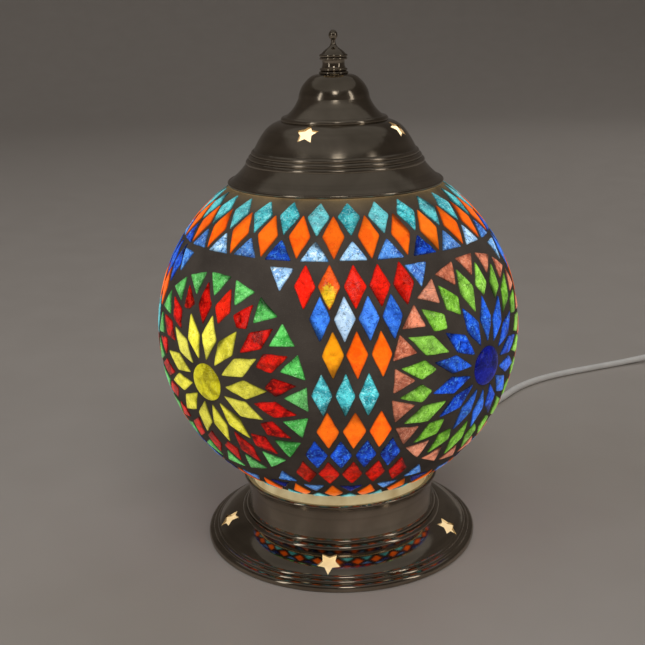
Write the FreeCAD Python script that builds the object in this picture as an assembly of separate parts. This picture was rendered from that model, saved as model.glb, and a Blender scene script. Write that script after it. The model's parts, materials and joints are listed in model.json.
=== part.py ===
import FreeCAD, Part
import math
import os
import random
from FreeCAD import Vector

# Mosaic glass table lamp, in millimetres. The origin is the centre of the felt's
# underside, +Z is up and -Y is the front.

# ---- driving dimensions ----
GLOBE_RADIUS = 80.0          # tile surface at the equator
GLOBE_HALF_HEIGHT = 77.7     # tile surface at the poles, if it were closed
GLOBE_CENTRE_Z = 100.2
ARC_OFFSET = 3.6             # the globe's profile is one arc, centred this far from the axis
ARC_RADIUS = GLOBE_RADIUS - ARC_OFFSET
TILE_THICKNESS = 2.2
TILE_TOP_DEPTH = 0.25        # a flat tile's middle lies this far under the tile surface
TILE_GAP = 0.15              # adhesive line round and under a tile
GROUT_DEPTH = 0.35
GROUT_THICKNESS = 2.1
GLASS_WALL = 2.4
GLASS_DEPTH = 2.6            # tile surface to the outside of the glass
GROUT_LOW, GROUT_HIGH = -57.6, 58.6
MOUTH_RADIUS = 34.0
NECK_RADIUS = 41.0
NECK_FOOT_Z = 24.0

PLATE_LOW, PLATE_HIGH = 1.2, 2.2
PLATE_RADIUS = 60.4
RING_Z = 20.0                # underside of the ledge that carries the globe
RING_INNER, RING_OUTER = 34.4, 41.7
BRIDGE_Z = 18.4
BRIDGE_THICKNESS = 1.5
BRIDGE_SCREW_X = 37.0
BRIDGE_HALF_LENGTH = 41.2
TUBE_RADIUS, TUBE_BORE = 5.0, 3.5
CAP_TOP_Z = 209.5
STUD_RADIUS = 2.0
BASE_STARS, BASE_STAR_AZIMUTH = 5, -6.0
CAP_STARS, CAP_STAR_AZIMUTH = 4, -23.5
BULB_TIP_Z = 44.5
BULB_CENTRE_Z = 100.0
BULB_RADIUS = 22.5
THREAD_RADIUS = 6.95         # E14 screw cap
THREAD_PITCH = 2.82

CORD_RADIUS = 2.0
CORD_TURN_DEG = 66.0         # the cord leaves the back of the base along this bearing from +X
BOOT_INNER, BOOT_OUTER = 44.0, 86.0
BOOT_INNER_Z, BOOT_OUTER_Z = 5.9, 2.5
CORD_START = 60.0            # where the free cord's tube begins, inside the boot
CORD_INNER_END = 27.0        # where the cord's sheath ends, inside the base
SWITCH_START = Vector(232.0, 232.0, 6.8)
SWITCH_LENGTH, SWITCH_WIDTH, SWITCH_HEIGHT = 62.0, 26.0, 17.0
COIL_CENTRE = Vector(290.0, 172.0, 0.0)
COIL_MID_RADIUS, COIL_WIDTH, COIL_HEIGHT = 24.0, 20.6, 7.8
PLUG_ENTRY = Vector(312.0, 126.0, 6.75)
PLUG_LENGTH, PLUG_HALF_WIDTH = 46.0, 16.6
PIN_SPACING, PIN_RADIUS, PIN_REACH = 18.6, 2.0, 19.0
PIN_ROOT = 6.0               # how deep a pin is held in the plug
SWITCH_POSTS = [(14.0, -7.0), (SWITCH_LENGTH - 14.0, 7.0)]
ROCKER_Z, ROCKER_PIN, ROCKER_TILT = 12.2, 1.2, 8.0

FIELD_HALF_WIDTH = 33.4
FIELD_HIGH, FIELD_LOW = 32.5, -37.5
COLUMN_AZIMUTH = 4.3
MEDALLION_A = [(-41.5, -4.5), (138.5, -4.5)]
MEDALLION_B = [(48.5, -2.5), (228.5, -2.5)]
FRONT_ROWS = ["red", "royal_blue", "orange", "turquoise", "orange", "royal_blue", "red"]
SIDE_ROWS = ["royal_blue", "orange", "turquoise", "red", "turquoise", "orange", "royal_blue"]
# Latitude, tile count, tile height, spacing and shift in azimuth of a column's rows, from the top.
COLUMN_ROWS = [(27.0, 5, 13.0, 7.7, 1.1), (18.0, 4, 13.2, 7.0, 1.1), (7.8, 3, 13.7, 6.8, 1.0),
               (-4.0, 3, 13.3, 6.4, -2.5), (-15.8, 3, 13.4, 7.6, 0.0), (-25.4, 4, 12.5, 7.8, 0.0),
               (-34.6, 5, 12.7, 8.2, 0.0)]
COLUMN_TILE_SHARE = 0.90      # of a row's spacing
CROWN_COUNT = 28
FOOT_COUNT = 24

UP = Vector(0, 0, 1)
AXIS_FOOT = Vector(0, 0, 0)


# ---- helpers ----
def save(name, *solids):
    """Write one node, as one solid or as a group of separate solids."""
    shape = solids[0] if len(solids) == 1 else Part.makeCompound(list(solids))
    shape.exportStep("parts/" + name + ".step")
    print(name, len(shape.Solids), "solids", round(shape.Volume, 1), "mm3", shape.isValid())


def wire_of(start, steps, place):
    """A closed wire: each step is an end point, or a pair (via, end) for an arc."""
    edges = []
    here = place(*start)
    for step in list(steps) + [start]:
        if isinstance(step[0], tuple):
            via, end = place(*step[0]), place(*step[1])
            edges.append(Part.Arc(here, via, end).toShape())
        else:
            end = place(*step)
            if end.distanceToPoint(here) > 1e-6:
                edges.append(Part.LineSegment(here, end).toShape())
        here = end
    return Part.Wire(edges)


def spun(start, *steps):
    """Turn an (r, z) outline once round the Z axis."""
    wire = wire_of(start, steps, lambda r, z: Vector(r, 0, z))
    return Part.Face(wire).revolve(AXIS_FOOT, UP, 360)


def ring(inner, outer, low, high):
    body = Part.makeCylinder(outer, high - low, Vector(0, 0, low))
    if inner > 0:
        body = body.cut(Part.makeCylinder(inner, high - low, Vector(0, 0, low)))
    return body


def box(low, high):
    return Part.makeBox(high[0] - low[0], high[1] - low[1], high[2] - low[2], Vector(*low))


def turned(shape, degrees, centre=AXIS_FOOT, axis=UP):
    copy = shape.copy()
    copy.rotate(centre, axis, degrees)
    return copy


def hexagon(across_flats, height, base, direction=UP):
    """A hexagonal prism standing on base along direction."""
    corner = across_flats / 2 / math.cos(math.radians(30))
    points = [Vector(corner * math.cos(math.radians(60 * k)), corner * math.sin(math.radians(60 * k)), 0)
              for k in range(7)]
    body = Part.Face(Part.makePolygon(points)).extrude(UP * height)
    body.Placement = FreeCAD.Placement(base, FreeCAD.Rotation(UP, direction))
    return body


def star(outer, inner, depth, centre, normal, point_towards):
    """A five-pointed prism through centre along normal, one point towards point_towards."""
    out = Vector(normal).normalize()
    top = Vector(point_towards).sub(out * out.dot(point_towards)).normalize()
    side = out.cross(top)
    points = []
    for k in range(10):
        angle = math.radians(36 * k)
        reach = outer if k % 2 == 0 else inner
        corner = top * (reach * math.cos(angle)) + side * (reach * math.sin(angle))
        points.append(centre + corner - out * depth)
    return Part.Face(Part.makePolygon(points + points[:1])).extrude(out * 2 * depth)


def tube_along(points, radius, bend_share=0.45):
    """A round tube of straight runs joined by tangent arcs, and its arc radii."""
    edges, radii = [], []
    here = points[0]
    for before, corner, after in zip(points, points[1:], points[2:]):
        back, ahead = before - corner, after - corner
        run = min(back.Length, ahead.Length)
        half_turn = (math.pi - back.getAngle(ahead)) / 2
        trim = bend_share * run
        radii.append(trim / math.tan(half_turn))
        back.normalize()
        ahead.normalize()
        start, end = corner + back * trim, corner + ahead * trim
        middle_line = (back + ahead).normalize()
        reach = radii[-1] / math.cos(half_turn) - radii[-1]
        edges.append(Part.LineSegment(here, start).toShape())
        edges.append(Part.Arc(start, corner + middle_line * reach, end).toShape())
        here = end
    edges.append(Part.LineSegment(here, points[-1]).toShape())
    path = Part.Wire(edges)
    section = Part.Wire(Part.Circle(points[0], points[1] - points[0], radius).toShape())
    tube = path.makePipeShell([section], True, False)
    share = tube.Volume / (math.pi * radius ** 2 * path.Length)
    print("tube", round(path.Length, 1), "mm, volume share", round(share, 4),
          "radii", [round(value, 1) for value in radii])
    return tube


# ---- globe surface ----
def globe_frame(azimuth, latitude, depth=0.0):
    """Point and outward normal of the tile surface; azimuth 0 is the front, + to the right."""
    turn, lift = math.radians(azimuth), math.radians(latitude)
    tilt = math.atan2(GLOBE_HALF_HEIGHT * math.sin(lift), GLOBE_RADIUS * math.cos(lift) - ARC_OFFSET)
    reach = ARC_OFFSET + (ARC_RADIUS - depth) * math.cos(tilt)
    height = GLOBE_CENTRE_Z + (ARC_RADIUS - depth) * math.sin(tilt)
    normal = Vector(math.cos(tilt) * math.sin(turn), -math.cos(tilt) * math.cos(turn), math.sin(tilt))
    return Vector(reach * math.sin(turn), -reach * math.cos(turn), height), normal


def shell_between(depth_out, depth_in, low, high):
    """A band of the globe between two depths and two tilts of the profile's arc."""
    def place(depth, tilt):
        angle = math.radians(tilt)
        radius = ARC_RADIUS - depth
        return (ARC_OFFSET + radius * math.cos(angle), GLOBE_CENTRE_Z + radius * math.sin(angle))
    middle = (low + high) / 2
    return spun(place(depth_out, low), (place(depth_out, middle), place(depth_out, high)),
                place(depth_in, high), (place(depth_in, middle), place(depth_in, low)))


def grown(points, normal, gap):
    """Move every edge of a flat convex outline outwards by gap."""
    count = len(points)
    centre = sum(points, Vector()) * (1.0 / count)
    lines = []
    for k in range(count):
        start, end = points[k], points[(k + 1) % count]
        along = (end - start).normalize()
        across = along.cross(normal).normalize()
        if across.dot(start - centre) < 0:
            across = across * -1
        lines.append((start + across * gap, along))
    corners = []
    for k in range(count):
        (a, u), (b, v) = lines[k - 1], lines[k]
        w = normal.cross(v)
        corners.append(a + u * ((b - a).dot(w) / u.dot(w)))
    return corners


# ---- mosaic ----
# Each colour holds the outlines of its tiles, as (azimuth, latitude) corners.
mosaic = {}
pockets = []
cabochons = {}
chance = random.Random(7)


def shaken(corner, amount=0.17):
    azimuth, latitude = corner
    spread = amount / math.cos(math.radians(latitude))
    return (azimuth + chance.uniform(-spread, spread), latitude + chance.uniform(-amount, amount))


def lay(colour, corners):
    """Cut one flat tile to these corners, and its pocket in the grout."""
    corners = [shaken(corner) for corner in corners]
    count = len(corners)
    azimuth = sum(corner[0] for corner in corners) / count
    latitude = sum(corner[1] for corner in corners) / count
    centre, normal = globe_frame(azimuth, latitude)
    points = []
    for corner in corners:
        point = globe_frame(*corner)[0]
        points.append(point - normal * ((point - centre).dot(normal) + TILE_TOP_DEPTH))
    face = Part.Face(Part.makePolygon(points + points[:1]))
    mosaic.setdefault(colour, []).append(face.extrude(normal * -TILE_THICKNESS))
    rim = [point + normal * 2 for point in grown(points, normal, TILE_GAP)]
    pockets.append(Part.Face(Part.makePolygon(rim + rim[:1])).extrude(normal * -8))


def diamond(colour, azimuth, latitude, width, height, waist=0.0):
    """An upright diamond; waist moves its widest point up or down."""
    lay(colour, [(azimuth, latitude + height / 2), (azimuth + width / 2, latitude + waist),
                 (azimuth, latitude - height / 2), (azimuth - width / 2, latitude + waist)])


def triangle(colour, azimuth, base, tip, width):
    lay(colour, [(azimuth - width / 2, base), (azimuth + width / 2, base), (azimuth, tip)])


def around(centre, reach, bearing):
    """The (azimuth, latitude) at an angle reach from a medallion's centre, clockwise from up."""
    lift, lean, swing = math.radians(centre[1]), math.radians(reach), math.radians(bearing)
    height = math.sin(lift) * math.cos(lean) + math.cos(lift) * math.sin(lean) * math.cos(swing)
    east = math.sin(lean) * math.sin(swing)
    north = math.cos(lift) * math.cos(lean) - math.sin(lift) * math.sin(lean) * math.cos(swing)
    return (centre[0] + math.degrees(math.atan2(east, north)), math.degrees(math.asin(height)))


def petals(colour, centre, count, phase, inner, outer, width, ring_inside=None):
    """A ring of leaf-shaped tiles; one that points at a tip of the ring inside starts beyond it."""
    shoulder = inner + 0.52 * (outer - inner)
    half = math.degrees(width / 2 / shoulder)
    for k in range(count):
        bearing = phase + 360.0 * k / count
        start = inner
        if ring_inside:
            inside_count, inside_phase, inside_outer = ring_inside
            step = 360.0 / inside_count
            facing = abs((bearing - inside_phase) % step / step - 0.5) * 2
            start += (inside_outer + 1.9 - inner) * facing ** 1.4
        lay(colour, [around(centre, outer, bearing), around(centre, shoulder, bearing + half),
                     around(centre, start, bearing), around(centre, shoulder, bearing - half)])


def fringe(colour, centre, count, phase, inner, outer, width):
    """The outermost ring of triangles, tips towards the medallion's centre."""
    half = math.degrees(width / 2 / outer)
    for k in range(count):
        bearing = phase + 360.0 * k / count
        reach = outer
        while side_room(around(centre, reach, bearing), centre) < 0:
            reach -= 0.5
        lay(colour, [around(centre, inner + reach - outer, bearing),
                     around(centre, reach, bearing - half), around(centre, reach, bearing + half)])


def side_room(place, centre):
    """How far inside the medallion's square field a tile's outer edge lies, in degrees."""
    across = FIELD_HALF_WIDTH - abs(place[0] - centre[0])
    above = FIELD_HIGH - place[1]
    below = place[1] - FIELD_LOW
    return min(across, above, below)


def cabochon(colour, centre, reach):
    """A round glass pebble, domed outside and flat on the globe."""
    point, normal = globe_frame(*centre)
    radius = math.radians(reach) * GLOBE_RADIUS
    foot = point - normal * (TILE_TOP_DEPTH + TILE_THICKNESS)
    dome = wire_of((0, 0), [(radius, 0), (radius, 1.7), ((radius * 0.62, 3.1), (0.4, 3.6)), (0, 3.6)],
                   lambda r, z: Vector(r, 0, z))
    body = Part.Face(dome).revolve(AXIS_FOOT, UP, 360)
    body.Placement = FreeCAD.Placement(foot, FreeCAD.Rotation(UP, normal))
    cabochons[colour] = cabochons.get(colour, []) + [body]
    pockets.append(Part.makeCylinder(radius + TILE_GAP, 8, foot - normal * 3, normal))


def lay_crown():
    """Three bands round the shoulder: turquoise and orange diamonds over blue triangles."""
    pitch = 360.0 / CROWN_COUNT
    blues = ["light_blue", "steel_blue", "royal_blue", "steel_blue"]
    for k in range(CROWN_COUNT):
        diamond("turquoise", 5.5 + k * pitch, 48.1, 9.4, 12.2, 0.6)
        diamond("orange", -0.9 + k * pitch, 42.0, 8.4, 14.6)
        triangle(blues[k % 4] if k not in (0, 27) else "light_blue", 5.5 + k * pitch, 34.4, 40.8, 9.8)


def lay_foot():
    """The band above the collar: orange diamonds, blue triangles and turquoise corners."""
    pitch = 360.0 / FOOT_COUNT
    for k in range(FOOT_COUNT):
        diamond("orange", -3.2 + k * pitch, -48.6, 8.8, 12.6, -1.0)
        triangle("navy" if k % 2 == 0 else "steel_blue", 4.3 + k * pitch, -42.6, -48.0, 9.0)
        lay("turquoise", [(4.3 + k * pitch, -50.2), (9.3 + k * pitch, -55.8), (-0.7 + k * pitch, -55.8)])


def lay_columns():
    for quarter in range(4):
        rows = FRONT_ROWS if quarter == 0 else SIDE_ROWS
        middle = COLUMN_AZIMUTH + 90 * quarter
        for colour, (latitude, count, height, pitch, shift) in zip(rows, COLUMN_ROWS):
            for k in range(count):
                azimuth = middle + shift + (k - (count - 1) / 2) * pitch
                diamond(colour, azimuth, latitude, COLUMN_TILE_SHARE * pitch, height)
        for side in (-1, 1):
            triangle("light_blue" if side < 0 else "steel_blue", middle + side * 22.2, 32.2, 25.2, 8.4)
            triangle("steel_blue", middle + side * 25.2, -40.6, -34.4, 8.4)


def lay_medallions():
    for centre in MEDALLION_A:
        cabochon("cabochon_yellow", centre, 5.7)
        petals("yellow", centre, 13, 5.5, 7.0, 21.0, 6.0)
        petals("red", centre, 20, 12.8, 16.6, 30.0, 6.0, (13, 5.5, 21.0))
        fringe("green", centre, 20, 2.5, 26.0, 33.0, 8.2)
    for centre in MEDALLION_B:
        cabochon("cabochon_blue", centre, 6.0)
        petals("royal_blue", centre, 14, 2.0, 7.3, 21.6, 5.7)
        petals("lime", centre, 21, 5.4, 17.4, 31.8, 6.2, (14, 2.0, 21.6))
        fringe("terracotta", centre, 21, -1.6, 27.8, 34.4, 8.4)


# ---- metal base ----
def base_shell():
    """Spun base: stepped rim, domed flange, two beads and a waisted collar with a rolled lip."""
    body = spun((61.6, 0.4), (62.7, 0.4), (62.7, 1.3), ((62.3, 2.5), (61.1, 3.1)), (60.5, 3.2),
                ((60.1, 3.95), (59.2, 4.25)), (58.7, 4.3), ((58.3, 5.05), (57.5, 5.4)),
                ((52.4, 9.3), (46.6, 11.2)), ((45.9, 12.5), (44.5, 12.9)), ((44.3, 14.3), (43.3, 14.9)),
                ((42.8, 22.0), (44.1, 29.7)), ((45.3, 30.4), (44.4, 31.2)), (43.2, 31.0), (43.1, 29.8),
                ((41.9, 22.0), (42.3, 15.0)), (42.6, 12.6), (45.4, 10.5), ((51.9, 8.4), (57.1, 4.6)),
                (59.6, 3.0), (61.6, 1.8))
    for k in range(BASE_STARS):
        bearing = math.radians(BASE_STAR_AZIMUTH + 360.0 / BASE_STARS * k)
        outward = Vector(math.sin(bearing), -math.cos(bearing), 0)
        normal = outward * 0.5 + UP * 0.866
        body = body.cut(star(5.4, 2.9, 4, outward * 52.9 + UP * 8.6, normal, outward))
    return body.cut(boot_passage(3.15))


def cord_place(reach):
    """The point of the cord's straight exit line at this distance from the lamp's axis."""
    bearing = math.radians(CORD_TURN_DEG)
    drop = (BOOT_OUTER_Z - BOOT_INNER_Z) / (BOOT_OUTER - BOOT_INNER)
    height = BOOT_INNER_Z + drop * (reach - BOOT_INNER)
    return Vector(reach * math.cos(bearing), reach * math.sin(bearing), height)


def boot_passage(radius):
    start, end = cord_place(BOOT_INNER + 4), cord_place(BOOT_OUTER)
    return Part.makeCylinder(radius, (end - start).Length, start, end - start)


def strain_relief():
    """Rubber boot: a flange inside the base, a neck in its wall and a taper with grooves."""
    start, end = cord_place(BOOT_INNER), cord_place(BOOT_OUTER)
    length = (end - start).Length
    outline = [(CORD_RADIUS + 0.05, 0), (3.5, 0), (3.5, 2.4), (2.95, 2.4), (2.95, 20.0)]
    for k in range(4):
        low = 22.0 + 4.2 * k
        outline += [(2.9 - 0.1 * k, low), (2.45, low + 0.3), (2.45, low + 1.2), (2.85 - 0.1 * k, low + 1.5)]
    outline += [(2.42, length), (CORD_RADIUS + 0.05, length)]
    body = spun(*outline)
    body.Placement = FreeCAD.Placement(start, FreeCAD.Rotation(UP, end - start))
    return body


def bottom_plate():
    plate = ring(TUBE_RADIUS + 0.1, PLATE_RADIUS, PLATE_LOW, PLATE_HIGH)
    return plate.cut(boot_passage(3.15))


def support_ring():
    """Pressed ring soldered in the collar: the globe stands on its ledge."""
    body = ring(RING_INNER, RING_OUTER, RING_Z, RING_Z + 1.2)
    for side in (-1, 1):
        body = body.cut(Part.makeCylinder(1.6, 4, Vector(side * BRIDGE_SCREW_X, 0, RING_Z - 1)))
    return body


def bridge():
    low, high = BRIDGE_Z, BRIDGE_Z + BRIDGE_THICKNESS
    bar = box((-BRIDGE_HALF_LENGTH, -7, low), (BRIDGE_HALF_LENGTH, 7, high))
    bar = bar.common(ring(0, BRIDGE_HALF_LENGTH, low, high))
    bar = bar.cut(ring(0, TUBE_RADIUS + 0.1, low, high))
    for side in (-1, 1):
        bar = bar.cut(Part.makeCylinder(1.6, 4, Vector(side * BRIDGE_SCREW_X, 0, low - 1)))
    return bar


def bridge_screws():
    """Pan-head screws from above through the ledge and the bridge."""
    parts = []
    for side in (-1, 1):
        head = RING_Z + 1.25
        screw = spun((0, 14.0), (1.5, 14.0), (1.5, head), (2.6, head),
                     ((2.3, head + 1.1), (0.4, head + 1.5)), (0, head + 1.5))
        parts.append(screw.translated(Vector(side * BRIDGE_SCREW_X, 0, 0)))
    return parts


def bridge_nuts():
    parts = []
    for side in (-1, 1):
        foot = Vector(side * BRIDGE_SCREW_X, 0, BRIDGE_Z - 2.5)
        nut = hexagon(5.5, 2.4, foot)
        parts.append(nut.cut(Part.makeCylinder(1.55, 3, foot)))
    return parts


def tube_nuts():
    """One nut clamps the bottom plate, one the bridge."""
    nuts = []
    for foot in (PLATE_HIGH + 0.05, BRIDGE_Z - 5.2):
        nut = hexagon(14.0, 3.4, Vector(0, 0, foot))
        nuts.append(nut.cut(ring(0, TUBE_RADIUS + 0.05, foot - 1, foot + 5)))
    return nuts


def threaded_tube():
    """M10 tube; its thread is shown as shallow rings, and its side has a slot for the wires."""
    outline = [(TUBE_BORE, 1.4), (TUBE_RADIUS - 0.4, 1.4)]
    rings = 22
    for k in range(rings):
        low = 2.0 + k
        outline += [(TUBE_RADIUS, low), (TUBE_RADIUS, low + 0.4), (TUBE_RADIUS - 0.35, low + 0.7)]
    outline += [(TUBE_RADIUS - 0.4, 24.6), (TUBE_BORE, 24.6)]
    window = box((0, -2.2, 6.4), (8, 2.2, 12.4))
    return spun(*outline).cut(turned(window, CORD_TURN_DEG))


# ---- lampholder ----
def holder_cup():
    cup = spun((5.15, 20.2), (9.5, 20.2), ((12.9, 21.6), (14.0, 25.0)), (14.0, 36.0), (12.2, 36.0),
               (12.2, 26.0), ((11.4, 23.0), (8.6, 22.0)), (5.15, 22.0))
    return cup.cut(Part.makeCylinder(1.05, 8, Vector(8, 0, 29), Vector(1, 0, 0)))


def holder_skirt():
    """Upper sleeve with grip ribs, closing in above the bulb's thread."""
    body = spun((12.4, 36.2), (13.9, 36.2), (13.9, 40.0), (13.3, 41.0), (13.3, 63.0),
                ((12.9, 65.2), (11.2, 65.9)), (7.9, 65.9), (7.9, 64.2), (11.0, 64.2), (11.6, 63.4),
                (11.6, 41.0), (12.4, 40.4))
    for k in range(24):
        rib = box((13.1, -0.5, 43), (13.9, 0.5, 61))
        body = body.fuse(turned(rib, 15.0 * k))
    return body


def holder_insulator():
    """Ceramic insert carrying the contacts."""
    body = ring(0, 11.3, 34.0, 43.0)
    body = body.cut(box((-2.6, -6, 40.7), (2.6, 6, 43.0)))
    for side in (-1, 1):
        body = body.cut(Part.makeCylinder(1.4, 12, Vector(side * 7.2, 0, 33)))
        body = body.cut(Part.makeCylinder(1.45, 6, Vector(side * 12.5, 0, 38), Vector(-side, 0, 0)))
    return body


def holder_liner():
    """Plain sleeve standing in for the rolled E14 thread."""
    body = ring(THREAD_RADIUS + 0.1, THREAD_RADIUS + 0.5, 46.0, 63.6)
    flange = ring(THREAD_RADIUS + 0.1, 10.8, 45.4, 46.0)
    foot = box((6.2, -2, 43.05), (10.5, 2, 43.6)).fuse(box((9.9, -2, 43.05), (10.5, 2, 45.5)))
    return body.fuse(flange).fuse(foot).removeSplitter()


def holder_contact():
    """Sprung tongue under the bulb's tip."""
    wire = wire_of((-5.6, 41.3), [(-5.0, 41.3), ((-2.6, 43.9), (0, 44.2)), ((2.0, 44.1), (3.4, 43.4)),
                                  (3.2, 43.0), ((1.9, 43.7), (0, 43.8)), ((-2.4, 43.4), (-4.9, 40.9)),
                                  (-5.6, 40.9)], lambda y, z: Vector(-1.8, y, z))
    tongue = Part.Face(wire).extrude(Vector(3.6, 0, 0))
    return tongue


def terminal_screws():
    parts = []
    for side in (-1, 1):
        screw = Part.makeCylinder(1.35, 4.2, Vector(side * 11.2, 0, 38), Vector(-side, 0, 0))
        parts.append(screw)
    return parts


def terminal_sleeves():
    """Brass sleeves that hold the wires' bare ends in the insulator."""
    sleeves = []
    for side in (-1, 1):
        foot = Vector(side * 7.2, 0, 33.2)
        sleeves.append(Part.makeCylinder(1.3, 3.3, foot).cut(Part.makeCylinder(0.75, 3.3, foot)))
    return sleeves


def inner_wire(side):
    """From a terminal down the tube, out of its slot and into the cord's end."""
    bearing = math.radians(CORD_TURN_DEG)
    ahead = Vector(math.cos(bearing), math.sin(bearing), 0)
    across = Vector(-math.sin(bearing), math.cos(bearing), 0) * -side
    cord_end = cord_place(CORD_INNER_END)
    points = [Vector(side * 7.2, 0, 34.0), Vector(side * 7.2, 0, 30.0), Vector(side * 1.8, 0, 26.6),
              across * 1.1 + UP * 15.0, across * 1.1 + ahead * 2.0 + UP * 8.6,
              across * 1.1 + ahead * 14.0 + UP * 8.0, cord_end - ahead * 0.1 + across * 0.85]
    return tube_along(points, 0.7, 0.4)


def cord_inner():
    start, end = cord_place(CORD_INNER_END), cord_place(CORD_START)
    return Part.makeCylinder(CORD_RADIUS, (end - start).Length, start, end - start)


def cord_clamp():
    """Two-screw saddle holding the cord down on the bottom plate."""
    middle = cord_place(34.0)
    bar = box((-2.5, -8, PLATE_HIGH + 0.05), (2.5, 8, middle.z + CORD_RADIUS + 1.2))
    for side in (-1, 1):
        bar = bar.cut(Part.makeCylinder(1.05, 12, Vector(0, side * 5.2, 0)))
    bar = turned(bar, CORD_TURN_DEG).translated(Vector(middle.x, middle.y, 0))
    start, end = cord_place(CORD_INNER_END), cord_place(CORD_START)
    return bar.cut(Part.makeCylinder(CORD_RADIUS + 0.05, (end - start).Length, start, end - start))


def clamp_screws():
    middle = cord_place(34.0)
    top = middle.z + CORD_RADIUS + 1.25
    screws = []
    for side in (-1, 1):
        screw = spun((0, PLATE_HIGH + 0.2), (1.0, PLATE_HIGH + 0.2), (1.0, top), (1.9, top),
                     ((1.6, top + 0.8), (0.3, top + 1.1)), (0, top + 1.1))
        screw = turned(screw.translated(Vector(0, side * 5.2, 0)), CORD_TURN_DEG)
        screws.append(screw.translated(Vector(middle.x, middle.y, 0)))
    return screws


# ---- globe ----
def globe_glass():
    """Blown globe with a ground mouth on top and a straight neck that stands in the collar."""
    outer, inner = ARC_RADIUS - GLASS_DEPTH, ARC_RADIUS - GLASS_DEPTH - GLASS_WALL

    def at(radius, r):
        return math.acos((r - ARC_OFFSET) / radius)

    def on(radius, angle):
        return (ARC_OFFSET + radius * math.cos(angle), GLOBE_CENTRE_Z + radius * math.sin(angle))

    neck_inner = NECK_RADIUS - GLASS_WALL
    low_out, low_in = math.radians(-58.0), -at(inner, neck_inner + 1.6)
    high_out, high_in = at(outer, MOUTH_RADIUS + 0.6), at(inner, MOUTH_RADIUS)
    return spun((NECK_RADIUS, NECK_FOOT_Z), (NECK_RADIUS, 34.4), ((41.5, 36.2), on(outer, low_out)),
                (on(outer, (low_out + high_out) / 2), on(outer, high_out)), on(inner, high_in),
                (on(inner, (low_in + high_in) / 2), on(inner, low_in)),
                ((neck_inner + 0.4, 37.4), (neck_inner, 35.6)), (neck_inner, NECK_FOOT_Z))


def grout():
    """Cement layer between the tiles, with a pocket for each."""
    skin = shell_between(GROUT_DEPTH, GROUT_DEPTH + GROUT_THICKNESS, GROUT_LOW, GROUT_HIGH)
    return skin.cut(pockets)


# ---- bulb ----
def bulb_glass():
    """Frosted golf-ball bulb, open at its foot where the screw cap holds it."""
    wall = 0.8
    inner = BULB_RADIUS - wall
    centre = BULB_CENTRE_Z
    low = math.radians(-58)

    def on(radius, angle):
        return (radius * math.cos(angle), centre + radius * math.sin(angle))

    return spun((8.0, 69.2), (8.0, 74.0), ((9.3, 78.4), on(BULB_RADIUS, low)),
                (on(BULB_RADIUS, 0), (0, centre + BULB_RADIUS)), (0, centre + inner),
                (on(inner, 0), on(inner, low)), ((8.6, 78.8), (7.2, 74.0)), (7.2, 69.2))


def bulb_screw_cap():
    """E14 cap: the thread is shown as rings one pitch apart."""
    outline = [(4.2, 47.0), (6.0, 47.2)]
    for k in range(5):
        low = 48.4 + THREAD_PITCH * k
        outline += [((THREAD_RADIUS, low + THREAD_PITCH / 4), (6.15, low + THREAD_PITCH / 2)),
                    ((5.95, low + 0.75 * THREAD_PITCH), (6.15, low + THREAD_PITCH))]
    outline[1] = (6.15, 48.4)
    outline += [(6.3, 66.4), (8.5, 67.2), (8.5, 72.0), (8.1, 72.0), (8.1, 69.0), (5.6, 66.6), (5.6, 49.0),
                (4.2, 48.0)]
    return spun(*outline)


def bulb_insulator():
    return spun((0, 45.9), (2.4, 45.9), (4.15, 47.0), (4.15, 48.4), (0, 48.4))


def bulb_tip():
    return spun((0, BULB_TIP_Z + 0.1), ((1.6, BULB_TIP_Z + 0.4), (2.2, 45.8)), (0, 45.8))


def bulb_stem():
    """Glass mount that carries the filament's supports."""
    return spun((0, 68.6), (4.6, 68.6), ((2.6, 72.5), (1.6, 79.0)), (1.6, 92.0), ((1.2, 93.2), (0.2, 93.5)),
                (0, 93.5))


def bulb_filament():
    """Coiled filament on two supports, as one thin bow."""
    points = [Vector(-1.0, 0, 93.0), Vector(-5.0, 0, 99.0), Vector(-8.0, 0, 104.0), Vector(-4.0, 0, 107.5),
              Vector(4.0, 0, 107.5), Vector(8.0, 0, 104.0), Vector(5.0, 0, 99.0), Vector(1.0, 0, 93.0)]
    return tube_along(points, 0.35, 0.4)


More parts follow.
